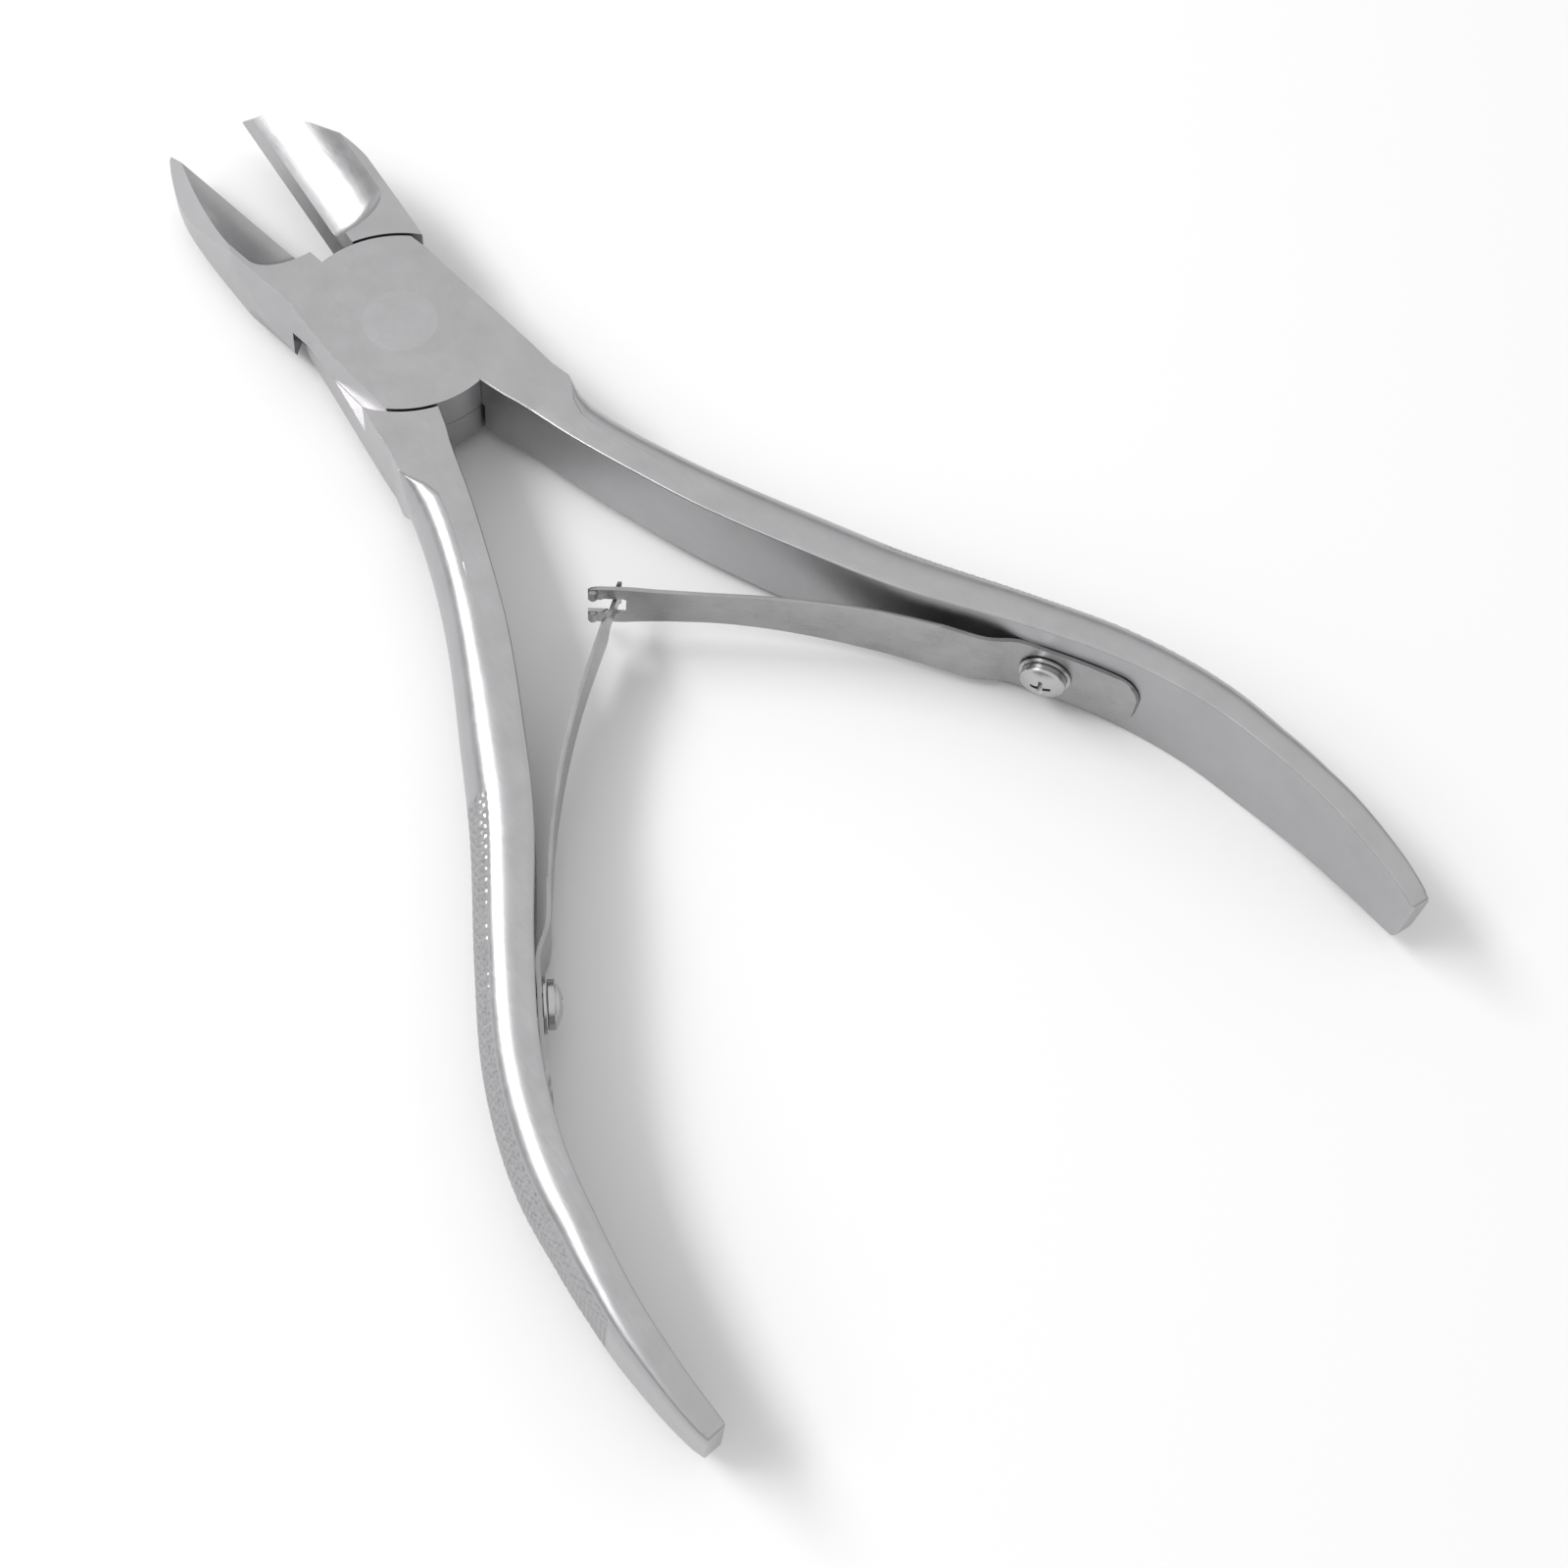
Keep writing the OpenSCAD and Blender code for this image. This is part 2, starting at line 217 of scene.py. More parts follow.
# ---------------------------------------------------------------- materials
def steel(name, base, rough, mottle=0.03, line_dir=(1, 1, 1), line_scale=9000, bump=0.12, dark=0.0, rvar=0.06, grain=30000):
    m = bpy.data.materials.new(name)
    m.use_nodes = True
    nt = m.node_tree
    nt.nodes.clear()
    N, K = nt.nodes.new, nt.links.new
    out, bs = N("ShaderNodeOutputMaterial"), N("ShaderNodeBsdfPrincipled")
    K(bs.outputs[0], out.inputs[0])
    bs.inputs["Metallic"].default_value = 1.0
    tc = N("ShaderNodeTexCoord")
    mp = N("ShaderNodeMapping")
    mp.inputs["Scale"].default_value = line_dir
    K(tc.outputs["Object"], mp.inputs["Vector"])
    lines = N("ShaderNodeTexNoise")
    lines.inputs["Scale"].default_value = line_scale
    lines.inputs["Detail"].default_value = 3
    K(mp.outputs[0], lines.inputs["Vector"])
    gr = N("ShaderNodeTexNoise")
    gr.inputs["Scale"].default_value = grain
    gr.inputs["Detail"].default_value = 2
    K(tc.outputs["Object"], gr.inputs["Vector"])
    big = N("ShaderNodeTexNoise")
    big.inputs["Scale"].default_value = 260
    big.inputs["Detail"].default_value = 5
    big.inputs["Roughness"].default_value = 0.62
    K(tc.outputs["Object"], big.inputs["Vector"])
    # colour: base with slow blotches and a trace of the lines
    ra = N("ShaderNodeValToRGB")
    lo, hi = 1 - mottle - dark, 1 + mottle
    ra.color_ramp.elements[0].position, ra.color_ramp.elements[1].position = 0.34, 0.64
    ra.color_ramp.elements[0].color = (*[c * lo for c in base], 1)
    ra.color_ramp.elements[1].color = (*[c * hi for c in base], 1)
    add = N("ShaderNodeMix")
    add.data_type = "FLOAT"
    add.inputs[0].default_value = 0.25
    K(big.outputs["Fac"], add.inputs[2])
    K(lines.outputs["Fac"], add.inputs[3])
    K(add.outputs[0], ra.inputs[0])
    K(ra.outputs[0], bs.inputs["Base Color"])
    mr = N("ShaderNodeMapRange")
    mr.inputs["From Min"].default_value, mr.inputs["From Max"].default_value = 0.3, 0.7
    mr.inputs["To Min"].default_value, mr.inputs["To Max"].default_value = rough - rvar, rough + rvar
    mix2 = N("ShaderNodeMix")
    mix2.data_type = "FLOAT"
    mix2.inputs[0].default_value = 0.5
    K(lines.outputs["Fac"], mix2.inputs[2])
    K(big.outputs["Fac"], mix2.inputs[3])
    K(mix2.outputs[0], mr.inputs["Value"])
    K(mr.outputs[0], bs.inputs["Roughness"])
    hmix = N("ShaderNodeMix")
    hmix.data_type = "FLOAT"
    hmix.inputs[0].default_value = 0.35
    K(lines.outputs["Fac"], hmix.inputs[2])
    K(gr.outputs["Fac"], hmix.inputs[3])
    bp = N("ShaderNodeBump")
    bp.inputs["Strength"].default_value = bump
    bp.inputs["Distance"].default_value = 0.00003
    K(hmix.outputs[0], bp.inputs["Height"])
    K(bp.outputs[0], bs.inputs["Normal"])
    return m


SATIN = steel("satin_steel_ground", (0.430, 0.424, 0.432), 0.33, 0.045, (1, 0.12, 1), 6000, 0.35)
PLATE = steel("satin_steel_flat", (0.445, 0.438, 0.447), 0.36, 0.04, (0.25, 1, 1), 6000, 0.4)
# darker copy of the satin steel for the handles' inner sides: painted shade; its blotches are random tone
INNER_SHADE = steel("satin_steel_inside_painted_shade", (0.33, 0.322, 0.330), 0.34, 0.12, (1, 0.3, 0.6), 2500, 0.4, dark=0.22, rvar=0.08)
POLISH = steel("polished_hollow", (0.50, 0.495, 0.50), 0.27, 0.03, (1, 0.2, 1), 5000, 0.15)
KNURL = steel("knurled_steel", (0.40, 0.395, 0.402), 0.34, 0.06, (1, 1, 1), 5000, 0.2)
# darker steel for the deeper knurl grooves: painted shade in the recesses
KNURL_GROOVE_SHADE = steel("knurl_groove_painted_shade", (0.19, 0.186, 0.19), 0.42, 0.08, (1, 1, 1), 5000, 0.2)
SPRING = steel("spring_steel_strip", (0.40, 0.394, 0.40), 0.30, 0.06, (0.1, 0.1, 1), 5000, 0.3, dark=0.10)
BRIGHT = steel("turned_steel", (0.50, 0.495, 0.50), 0.22, 0.03, (1, 1, 1), 7000, 0.15)
# near-black steel: painted shade on the exposed lap ledge, the shoulder's arc wall and the notch where the handle's
# rounding starts
SHADE = steel("lap_and_shoulder_painted_shade", (0.10, 0.097, 0.10), 0.45, 0.06, (1, 1, 1), 5000, 0.3)


# ---------------------------------------------------------------- the halves
# Handle rows for the loft: the joint's root first, then HANDLE
ROWS = np.vstack([[[0.42, -6.0, 6.69, 7.0], [1.00, -9.2, 6.08, 7.0], [1.50, -12.0, 5.56, 7.0]], HANDLE])
ROWS[3, 3] = 7.0
ROWS[-1] = [22.68, -96.9, 2.00, 5.9]
FLAT_Y = [-14.9, -15.5, -16.8, -18.3, -20.5, -25.5, -31.0, -38.0, -46.0, -80.0, -97.5]
FLAT_F = [1.01, 0.915, 0.66, 0.50, 0.46, 0.47, 0.44, 0.36, 0.30, 0.30, 0.40]
VERT_Y = [-14.9, -15.2, -15.8, -16.8, -18.2]
VERT_V = [0.02, 0.34, 0.66, 0.90, 0.985]
SQ_Y = [-15, -24, -34, -74, -80, -85, -89, -94]
SQ_M = [2.0, 2.1, 2.35, 2.35, 2.6, 3.4, 5.0, 6.5]
KN0, KN1 = -46.5, -87.0         # knurled stretch
NR = 42                         # points on each rounding


def ring_points(x, y, w, h, s):
    """Half section (top): list of (u, z above the middle) from the inner face round to the outside, and each rounding
    point's distance along the round from the outermost line.
    """
    f = np.interp(-y, [-v for v in FLAT_Y], FLAT_F) * w
    v = np.interp(-y, [-q for q in VERT_Y], VERT_V) * h / 2
    m = np.interp(-y, [-q for q in SQ_Y], SQ_M)
    f = min(f, w - 0.03)
    c = 0.15
    step = 0.20 * smoothstep(-14.9, -15.6, y) * (1 - smoothstep(-18.5, -28.0, y))
    step = min(step, v * 0.5)
    head = [(0.0, 0.02), (0.0, h / 2 - c)]
    head += [(c * (1 - math.cos(a)), h / 2 - c + c * math.sin(a)) for a in (math.pi / 6, math.pi / 3, math.pi / 2)]
    head += [(c + (f - c) * k / 3, h / 2) for k in (1, 2, 3)]
    t = np.linspace(0, math.pi / 2, 400)
    u0, z1, z0 = f + 0.02 + step * 0.6, h / 2 - step, h / 2 - v
    u0 = min(u0, w - 0.01)
    cu = u0 + (w - u0) * np.sin(t) ** (2 / m)
    cz = z0 + (z1 - z0) * np.cos(t) ** (2 / m)
    L = np.concatenate([[0], np.cumsum(np.hypot(np.diff(cu), np.diff(cz)))])
    q = np.linspace(0, L[-1], NR)
    ru, rz = np.interp(q, L, cu), np.interp(q, L, cz)
    arc = L[-1] - q + z0            # distance from the outermost line
    return head, ru, rz, arc, z0


RINGS = {}


def grip(name):
    S = len(ROWS) - 1
    ss = np.linspace(0, S, 4000)
    C = np.array([cr(ROWS, s) for s in ss])
    Ln = np.concatenate([[0], np.cumsum(np.hypot(*np.diff(C[:, :2], axis=0).T))])
    want, p = [], 0.0
    while p < Ln[-1]:
        want.append(p)
        y = np.interp(p, Ln, C[:, 1])
        p += 1.5 if y > -14.2 else 0.16 if y > -18.5 else 0.5 if y > KN0 + 0.6 else 0.135 if y > KN1 - 0.6 else 0.35
    want.append(Ln[-1])
    verts, nring, plist = [], None, []
    rows = np.interp(want, Ln, ss)
    for s, p in zip(rows, want):
        x, y, w, h = cr(ROWS, s)
        d = cr(ROWS, s + 0.03)[:2] - cr(ROWS, s - 0.03)[:2]
        if s <= 0.03:
            d = (ROWS[1] - ROWS[0])[:2]
        if s >= S - 0.03:
            d = (ROWS[-1] - ROWS[-2])[:2]
        d = d / np.linalg.norm(d)
        n = np.array([-d[1], d[0]])
        head, ru, rz, arc, z0 = ring_points(x, y, w, h, s)
        # knurl: two sets of V grooves that cross, cut in from the rounded outside
        zone = smoothstep(KN0 + 0.25, KN0 - 0.25, y) * (1 - smoothstep(KN1 + 0.25, KN1 - 0.25, y))
        hu = list(ru)
        hz = list(rz)
        halves = []
        for side in (1, -1):
            U, Z = np.array(ru), np.array(rz)
            if zone > 0:
                RINGS[round(float(p), 4)] = (x, y, n, ru, rz)
                q = side * arc
                g = lambda r: np.clip(1 - np.abs((r / 0.98) % 1.0 - 0.5) * 2 / 0.62, 0, 1)
                dep = 0.14 * np.maximum(g(p + q), g(p - q)) * zone
                lim = min(4.4, 0.68 * arc[0])
                dep = dep * np.clip((lim - np.abs(arc)) / 0.22, 0, 1)
                tu, tz = np.gradient(ru), np.gradient(rz)
                nn = np.hypot(tu, tz) + 1e-12
                U = U + (tz / nn) * dep
                Z = Z - (tu / nn) * dep
            halves.append((U, Z))
        top = [(u, z) for u, z in head] + list(zip(*halves[0]))
        bot = [(u, -z) for u, z in head] + [(u, -z) for u, z in zip(*halves[1])]
        sec = top + bot[::-1]
        nring = len(sec)
        verts += [(x + n[0] * u, y + n[1] * u, MID + z) for u, z in sec]
        last = (x, y, d, n, sec)
    # rounded end
    x, y, d, n, sec = last
    cen = np.mean(np.array(sec), axis=0)
    base = np.array(sec)
    r = 0.42
    for k in range(1, 6):
        a = k / 5 * math.pi / 2
        off = r * (1 - math.cos(a))
        ext = np.abs(base - cen).max(0)
        sc = (ext - off) / ext
        q = cen + (base - cen) * sc
        adv = r * math.sin(a)
        verts += [(x + n[0] * u + d[0] * adv, y + n[1] * u + d[1] * adv, MID + z) for u, z in q]
    R = len(verts) // nring
    faces = [list(range(nring))[::-1], [(R - 1) * nring + j for j in range(nring)]]
    for i in range(R - 1):
        for j in range(nring):
            a, b = i * nring + j, i * nring + (j + 1) % nring
            faces.append([a, b, b + nring, a + nring])
    return make(name, verts, faces)


def grooves(me, chosen):
    """Faces of the knurl that lie below its nominal round, and how far, in mm."""
    if not chosen:
        return {}
    R = list(RINGS.values())
    xy = np.array([[r[0], r[1]] for r in R])
    out = {}
    for i in chosen:
        c = me.polygons[i].center
        k = int(np.argmin((xy[:, 0] - c.x) ** 2 + (xy[:, 1] - c.y) ** 2))
        x, y, n, ru, rz = R[k]
        u, z = (c.x - x) * n[0] + (c.y - y) * n[1], abs(c.z - MID)
        out[i] = float(np.sqrt(((ru - u) ** 2 + (rz - z) ** 2).min()))
    return out


def circle(r, n=256, c=(0, 0)):
    return [(c[0] + r * math.cos(2 * math.pi * k / n), c[1] + r * math.sin(2 * math.pi * k / n)) for k in range(n)]


PLATE_2D = [[-5.6, 12.5], [-6.4, 5], [-6.9, 1], [-7.0, -6.5], [-7.0, -12], [1.0, -12], [1.0, -9.2], [2.0, -14.6], [6.9, -14.6],
            [6.95, -13.5], [7, 5], [6.6, 9], [0, 12.5]]


def jaw(name, kind):
    line, top, hx, lean = JAWS[kind]
    out = [(-cr(line, k / 10)[0], cr(line, k / 10)[1]) for k in range(80, -1, -1)]
    a = prism(name, [(-0.02, 4), (-0.02, 31.3)] + out, 0, JT)
    b = prism("jaw_section", [(-0.02, EDGE_Z), (-LAND, EDGE_Z + 1.9), (-LAND, JT), (-top, JT), (-top - 0.8, 1.2), (-top - 0.3, 0), (-1.1, 0)], 4, 40, "y")
    boole(a, b, "INTERSECT")
    n = 40
    prof = [(0, 46.4), (HOLLOW_R, 46.4)]
    prof += [(HOLLOW_R * math.cos(math.pi / 2 * k / n), HOLLOW_Y - HOLLOW_K * HOLLOW_R * math.sin(math.pi / 2 * k / n)) for k in range(n)]
    prof += [(0, HOLLOW_Y - HOLLOW_K * HOLLOW_R)]
    c = lathe("hollow", prof, 192, Matrix.Translation((hx, 0, HOLLOW_Z)) @ Matrix.Rotation(math.radians(-90), 4, "X"))
    boole(a, c, "DIFFERENCE")
    # the tip: a sloping facet along the outside of the left jaw, a short slope at the end of the right one
    cut = prism("tip", [(-30, -30), (30, -30), (30, 30), (-30, 30)], 0, 20)
    if kind == "front":
        cut.data.transform(Matrix.Translation((-2.4, 21.9, JT)) @ Matrix.Rotation(math.radians(151.5), 4, "Z") @ Matrix.Rotation(math.radians(60), 4, "Y"))
    else:
        cut.data.transform(Matrix.Translation((0, 31.4, EDGE_Z)) @ Matrix.Rotation(math.radians(-45), 4, "X"))
    boole(a, cut, "DIFFERENCE")
    a.data.transform(Matrix.Rotation(math.radians(lean), 4, "Z"))
    return a


def screw_frame(side_half=True):
    """Matrix to the screw's seat on the shut handle: local Z points into the palm gap."""
    p = cr(HANDLE, SCREW_S)[:2]
    t = h_tan(SCREW_S)
    nrm = np.array([t[1], -t[0]])
    a = math.atan2(nrm[1], nrm[0])
    return Matrix.Translation((p[0], p[1], LEAF_Z)) @ Matrix.Rotation(a, 4, "Z") @ Matrix.Rotation(math.radians(90), 4, "Y")


def half(name, kind):
    ob = boole(grip(name), jaw("jaw", kind), "UNION")
    if kind == "front":
        boole(ob, prism("c", circle(SH_R, 320), -3, MID + LAP_GAP / 2), "DIFFERENCE")
        z0, z1 = MID + LAP_GAP / 2, JT
    else:
        boole(ob, prism("c", circle(SH_R, 320), MID - LAP_GAP / 2, 12), "DIFFERENCE")
        z0, z1 = 0.0, MID - LAP_GAP / 2
    pl = boole(prism("pl", PLATE_2D, z0, z1), prism("c", circle(LAP_R, 320), -1, 9), "INTERSECT")
    boole(ob, pl, "UNION")
    if kind == "front":
        boole(ob, lathe("b", [(0, -1), (2.5, -1), (2.5, JT - 0.8), (3.3, JT), (3.5, JT + 0.2), (0, JT + 0.2)], 96), "DIFFERENCE")
    else:
        boole(ob, lathe("b", [(0, -0.2), (3.54, -0.2), (3.34, 0), (2.53, 0.849), (2.53, 9), (0, 9)], 96), "DIFFERENCE")
    boole(ob, lathe("b", [(0, -3.4), (0.98, -3.4), (0.98, 1.6), (0, 1.6)], 48, screw_frame()), "DIFFERENCE")

    def want(c):
        if c.y < -14.4:
            return 0.0
        if c.y > 9 and c.x > -0.5 and c.z < 4.2:
            return 0.18
        if abs(c.x) < 3.6 and abs(c.y) < 3.6:
            return 0.12
        return 1.0
    soften(ob, 0.10, want)
    # finishes, and painted shade on the inner sides, the laps, the shoulder and the knurl grooves, by where a face
    # lies, still in the shut frame, before any mirroring
    me = ob.data
    hx, lean = JAWS[kind][2], math.radians(JAWS[kind][3])
    for p in me.polygons:
        c, nrm = p.center, p.normal
        k = 0
        jx, jy = c.x * math.cos(lean) + c.y * math.sin(lean), c.y * math.cos(lean) - c.x * math.sin(lean)
        away = math.hypot(jx - hx, c.z - HOLLOW_Z, min(0, (jy - HOLLOW_Y) / HOLLOW_K)) - HOLLOW_R
        if c.y > 7 and abs(away) < 0.10 and nrm.z > 0.02:
            k = 3
        # the laps' faces: painted shade on the ledge left bare at the shoulder
        elif 3.2 < c.z < 3.8 and math.hypot(c.x, c.y) < (13 if c.y < 3 else 9.9) and abs(nrm.z) > 0.3:
            k = 5
        # painted shade in the notch where the handle's rounding starts
        elif -15.9 < c.y < -14.85 and c.x > 4.2 and 0.12 < abs(nrm.z) < 0.93:
            k = 5
        elif c.y > -16 and abs(nrm.z) > 0.9:
            k = 1
        # painted shade on the arc wall in the gap between the halves at the shoulder
        elif abs(nrm.z) < 0.35 and (math.hypot(c.x, c.y) < SH_R + 0.06) and c.y < 12 and math.hypot(c.x, c.y) > 9.3 and c.z < 6.9:
            k = 5
        # the handles' inner side faces: painted shade
        elif abs(nrm.z) < 0.6 and nrm.x < -0.3 and c.y < -9 and c.x > 0.5:
            k = 2
        elif KN1 < c.y < KN0 and nrm.x > -0.3:
            k = 4
        p.material_index = k
    # painted shade in the knurl grooves deeper than 0.08 mm
    for i, dep in grooves(me, [p.index for p in me.polygons if p.material_index == 4]).items():
        if dep > 0.08:
            me.polygons[i].material_index = 6
    R = Matrix.Rotation(math.radians(HALF), 4, "Z")
    if kind == "back":
        me.transform(Matrix.Scale(-1, 4, (1, 0, 0)))
        me.flip_normals()
        R = Matrix.Rotation(math.radians(-HALF), 4, "Z")
    me.transform(R)
    return ob


FRONT = half("front_half_steel", "front")
BACK = half("back_half_steel", "back")
for ob, body, node in ((FRONT, "front", "front_half"), (BACK, "back", "back_half")):
    done(ob, body, [SATIN, PLATE, INNER_SHADE, POLISH, KNURL, SHADE, KNURL_GROOVE_SHADE])
    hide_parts(node)

# ---------------------------------------------------------------- rivet
riv = lathe("rivet_flush", [(0, 0.0), (3.2, 0.0), (3.28, 0.03), (2.5, 0.81), (2.5, JT - 0.8), (3.3, JT - 0.001), (0, JT - 0.001)], 96)
done(riv, "front", [PLATE], 25)
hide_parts("pivot_rivet")


# ---------------------------------------------------------------- leaf springs
def leaf_line():
    foot = []
    for s in FOOT_S:
        p = cr(HANDLE, s)[:2]
        t = h_tan(s)
        n = -np.array([-t[1], t[0]])
        foot.append(turn([p + n * (FOOT_GAP + LEAF_T / 2)], HALF)[0])
    L = np.array([list(map(float, q)) for q in ARM] + [list(q) for q in foot])
    return np.array([cr(L, k / 14) for k in range(14 * (len(L) - 1) + 1)])


def band(P, t):
    d = np.gradient(P, axis=0)
    d /= np.linalg.norm(d, axis=1)[:, None]
    n = np.stack([-d[:, 1], d[:, 0]], 1)
    return [tuple(q) for q in P + n * t / 2] + [tuple(q) for q in (P - n * t / 2)[::-1]]


TIP = -32.4
BODY_W = [(TIP - 2.0, 2.3), (TIP - 5, 2.1), (TIP - 9, 2.4), (TIP - 14, 2.95), (TIP - 19, LEAF_W / 2)]


def side_shape(head):
    ys = [p[0] for p in BODY_W]
    hw = [p[1] for p in BODY_W]
    mid_rows = []
    for k in range(0, 41):
        y = ys[0] + (ys[-1] - ys[0]) * k / 40
        mid_rows.append((y, float(np.interp(-y, [-v for v in ys], hw))))
    # ease the corners of the widths
    w = np.array([q[1] for q in mid_rows])
    for _ in range(6):
        w[1:-1] = (w[:-2] + 2 * w[1:-1] + w[2:]) / 4
    top = head + [(mid_rows[k][0], float(w[k])) for k in range(41)]
    e0, e1 = TIP - 31.4, TIP - 33.5
    top += [(TIP - 25, LEAF_W / 2)]
    for k in range(0, 13):
        a = k / 12 * math.pi / 2
        top.append((e0 + (e1 - e0) * math.sin(a), LEAF_W / 2 - 2.5 + 2.5 * math.cos(a)))
    return [(y, LEAF_Z + z) for y, z in top] + [(y, LEAF_Z - z) for y, z in top[::-1]]


def leaf(name, kind):
    P = leaf_line()
    d = (P[0] - P[3]) / np.linalg.norm(P[0] - P[3])
    n = np.array([-d[1], d[0]])
    ext = []
    reach = 2.3 if kind == "fork" else 1.35
    for k in range(10, 0, -1):
        f = k / 10 * reach
        curl = 0.0
        ext.append(P[0] + d * f + n * curl)
    P = np.vstack([ext, P])
    ob = prism(name, band(P, LEAF_T), -1, 8)
    if kind == "fork":
        head = [(TIP + 1.75, 1.35)] + [(TIP + 1.7 - 0.9 * (1 - math.cos(a)), 1.5 + 1.05 * math.sin(a)) for a in np.linspace(0.15, math.pi / 2, 8)] + [(TIP - 0.6, 2.55)]
    else:
        head = [(TIP + 3, 1.2), (TIP + 1.0, 1.5), (TIP + 0.62, 1.7), (TIP + 0.6, 0.9), (TIP - 1.1, 0.9), (TIP - 1.25, 0.95), (TIP - 1.6, 2.1)]
    boole(ob, prism("side", side_shape(head), -60, 60, "x"), "INTERSECT")
    if kind == "fork":
        # a narrow mouth between the prongs, and a wider dark opening behind the crossing
        pts = [(6, 0.95), (0.55, 0.95), (0.45, 1.12), (-0.55, 1.12), (-0.70, 0.95)]
        pts = [(TIP + y, LEAF_Z - z) for y, z in pts] + [(TIP + y, LEAF_Z + z) for y, z in pts[::-1]]
        boole(ob, prism("n", pts, -6, 4, "x"), "DIFFERENCE")
        # the prongs' rolled ends
        for sg in (1, -1):
            prof = [(0, -0.66), (0.28, -0.66), (0.40, -0.54), (0.40, 0.54), (0.28, 0.66), (0, 0.66)]
            e = P[0] - d * 0.42 + n * 0.12
            boole(ob, lathe("roll", prof, 32, Matrix.Translation((e[0], e[1], LEAF_Z + sg * 1.70))), "UNION")
    F = screw_frame()
    R = Matrix.Rotation(math.radians(HALF), 4, "Z")
    boole(ob, lathe("h", [(0, -1), (1.05, -1), (1.05, 2), (0, 2)], 48, R @ F), "DIFFERENCE")
    soften(ob, 0.09, lambda c: 1.0, 2, 50, 0.01)
    if kind == "tongue":
        ob.data.transform(Matrix.Scale(-1, 4, (1, 0, 0)))
        ob.data.flip_normals()
    return ob


for kind, body, arm in (("fork", "front", "fork_spring"), ("tongue", "back", "tongue_spring")):
    ob = leaf(kind + "_leaf", kind)
    done(ob, None, [SPRING], 35)
    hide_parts(kind + "_leaf_foot", kind + "_leaf_arm")
    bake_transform(ob)

# ---------------------------------------------------------------- screws and washers
SEAT = FOOT_GAP + LEAF_T + 0.07
for kind, body in (("fork", "front"), ("tongue", "back")):
    F = Matrix.Rotation(math.radians(HALF), 4, "Z") @ screw_frame()
    w = lathe(kind + "_washer_turned", [(1.05, 0.0), (2.25, 0.0), (2.3, 0.05), (2.3, 0.25), (2.25, 0.30), (1.05, 0.30), (1.05, 0.0)], 96,
              F @ Matrix.Translation((0, 0, SEAT)))
    dome = []
    for k in range(0, 15):
        r = 1.86 * (1 - k / 14)
        z = 1.25 - 3.3 + math.sqrt(3.3 ** 2 - r * r)
        dome.append((r, z))
    prof = [(0, -3.9), (0.6, -3.9), (0.95, -3.5), (0.95, 0.0), (1.90, 0.0), (2.0, 0.10), (2.0, dome[0][1] - 0.10), (1.95, dome[0][1] - 0.02)] + dome
    s = lathe(kind + "_screw_pan", prof, 96, None)
    # cross recess, narrower with depth
    for a in (0, 90):
        x0, x1, y0, y1, zb, zt = 0.55, 1.08, 0.13, 0.21, 0.45, 1.5
        v = [(-x0, -y0, zb), (x0, -y0, zb), (x0, y0, zb), (-x0, y0, zb), (-x1, -y1, zt), (x1, -y1, zt), (x1, y1, zt), (-x1, y1, zt)]
        c = make("x", v, [[3, 2, 1, 0], [4, 5, 6, 7], [0, 1, 5, 4], [1, 2, 6, 5], [2, 3, 7, 6], [3, 0, 4, 7]])
        c.data.transform(Matrix.Rotation(math.radians(a + 8), 4, "Z"))
        boole(s, c, "DIFFERENCE")
    core = lathe("x", [(0, 0.35), (0.22, 0.45), (0.42, 1.5), (0, 1.5)], 32)
    boole(s, core, "DIFFERENCE")
    s.data.transform(F @ Matrix.Translation((0, 0, SEAT + 0.32)))
    for ob, what in ((w, "washer"), (s, "screw")):
        if kind == "tongue":
            ob.data.transform(Matrix.Scale(-1, 4, (1, 0, 0)))
            ob.data.flip_normals()
        done(ob, body, [BRIGHT], 30)
        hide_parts(kind + "_" + what)

# ---------------------------------------------------------------- camera
CAM_C = (-63.9889, -118.8934, 177.9113)
CAM_R = ((0.792287, -0.606101, 0.070171), (-0.513822, -0.724798, -0.458972), (0.329043, 0.327582, -0.885675))
CAM_F, CAM_S = 2457.008, (-4.0435, -0.9533)
cam = bpy.data.cameras.new("camera")
cam_ob = bpy.data.objects.new("camera", cam)
bpy.context.scene.collection.objects.link(cam_ob)
Rr = Matrix(CAM_R)
M = Matrix.Identity(4)
for i in range(3):
    M[i][0], M[i][1], M[i][2], M[i][3] = CAM_R[0][i], -CAM_R[1][i], -CAM_R[2][i], CAM_C[i] * 0.001
cam_ob.matrix_world = M
cam.sensor_width, cam.sensor_fit = 36.0, "HORIZONTAL"
cam.lens = CAM_F / 1600 * 36
cam.shift_x, cam.shift_y = -CAM_S[0] / 1600, CAM_S[1] / 1600
cam.clip_start, cam.clip_end = 0.01, 20
bpy.context.scene.camera = cam_ob
bpy.context.scene.view_settings.view_transform = "Standard"
bpy.context.scene.view_settings.look = "None"
bpy.context.scene.view_settings.exposure = 0.22

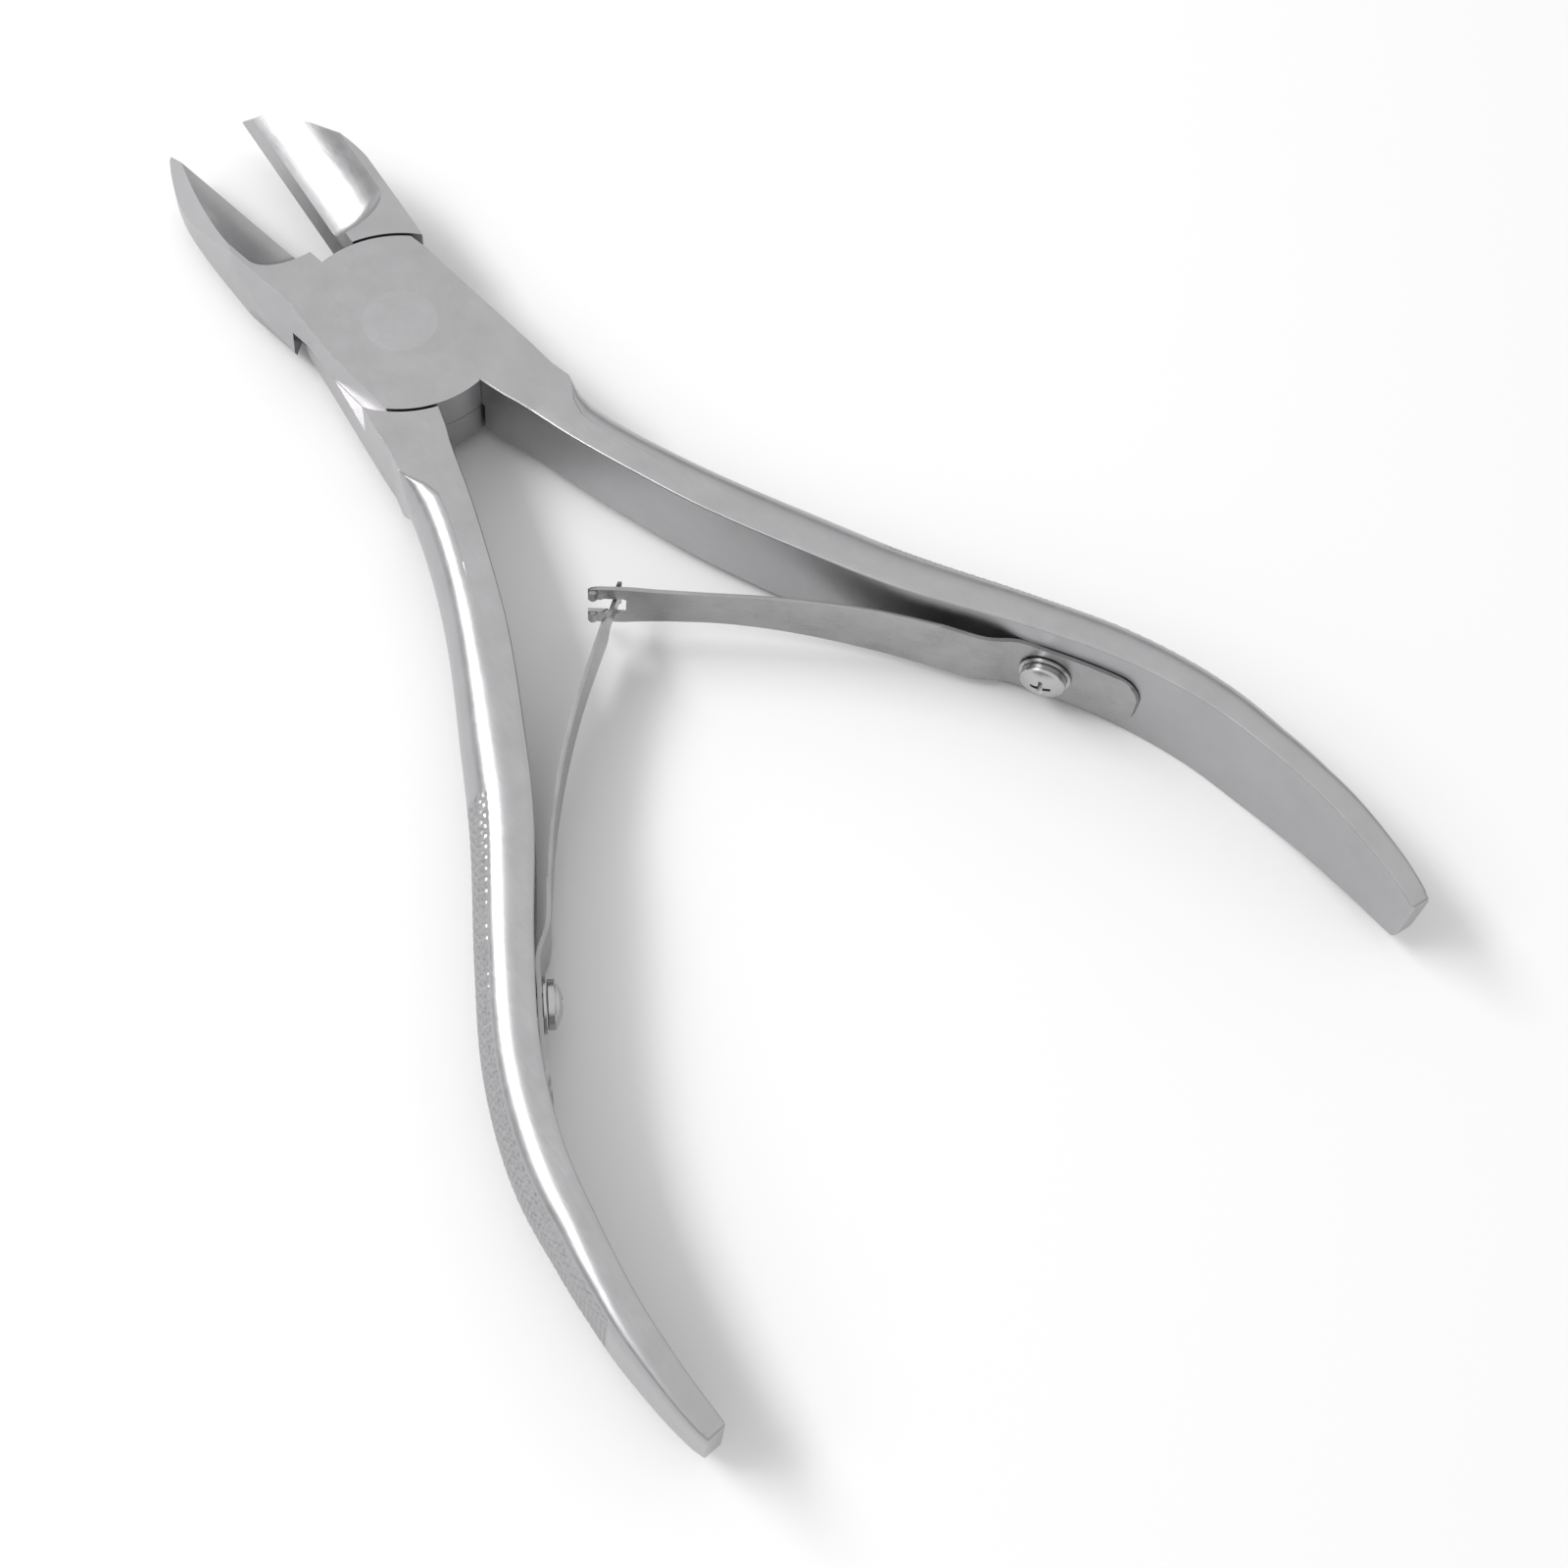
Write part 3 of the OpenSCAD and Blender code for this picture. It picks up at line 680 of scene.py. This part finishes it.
# ---------------------------------------------------------------- floor and light
FLOOR_Z = -0.00165
fl = make("floor", [(-3, -3, FLOOR_Z), (3, -3, FLOOR_Z), (3, 3, FLOOR_Z), (-3, 3, FLOOR_Z)], [[0, 1, 2, 3]])
fm = bpy.data.materials.new("pale_floor")
fm.use_nodes = True
fb = fm.node_tree.nodes["Principled BSDF"]
fb.inputs["Base Color"].default_value = (0.72, 0.72, 0.723, 1)
fb.inputs["Roughness"].default_value = 0.75
fb.inputs["Specular IOR Level"].default_value = 0.2
fl.data.materials.append(fm)

world = bpy.data.worlds.new("studio")
bpy.context.scene.world = world
world.use_nodes = True
nt = world.node_tree
nt.nodes.clear()
wo, bg = nt.nodes.new("ShaderNodeOutputWorld"), nt.nodes.new("ShaderNodeBackground")
tc, sep, ramp = nt.nodes.new("ShaderNodeTexCoord"), nt.nodes.new("ShaderNodeSeparateXYZ"), nt.nodes.new("ShaderNodeValToRGB")
nt.links.new(tc.outputs["Generated"], sep.inputs[0])
nt.links.new(sep.outputs["Z"], ramp.inputs[0])
nt.links.new(ramp.outputs[0], bg.inputs[0])
nt.links.new(bg.outputs[0], wo.inputs[0])
bg.inputs[1].default_value = 1.0
el = ramp.color_ramp.elements
el[0].position, el[0].color = 0.0, (0.22, 0.22, 0.225, 1)
el[1].position, el[1].color = 1.0, (0.82, 0.82, 0.82, 1)
for pos, c in ((0.18, 0.34), (0.42, 0.74), (0.85, 0.84)):
    e = el.new(pos)
    e.color = (c, c, c, 1)


def area(name, direction, dist, sx, sy, power, along=(0, 1, 0)):
    """Area light aimed at the tool; its long side runs along the given direction."""
    z = Vector(direction).normalized()
    y = Vector(along)
    y = (y - z * y.dot(z)).normalized()
    x = y.cross(z)
    L = bpy.data.lights.new(name, "AREA")
    L.shape, L.size, L.size_y, L.energy = "RECTANGLE", sx, sy, power
    o = bpy.data.objects.new(name, L)
    bpy.context.scene.collection.objects.link(o)
    M = Matrix.Identity(4)
    at = Vector((0.0, -0.03, 0.0)) + z * dist
    for i in range(3):
        M[i][0], M[i][1], M[i][2], M[i][3] = x[i], y[i], z[i], at[i]
    o.matrix_world = M
    return o


area("key", (-0.42, 0.60, 0.68), 0.9, 0.20, 0.62, 4.7, (-0.5, -0.8, 0.35))
area("fill", (-0.62, 0.30, 0.72), 1.0, 0.60, 0.30, 1.6)
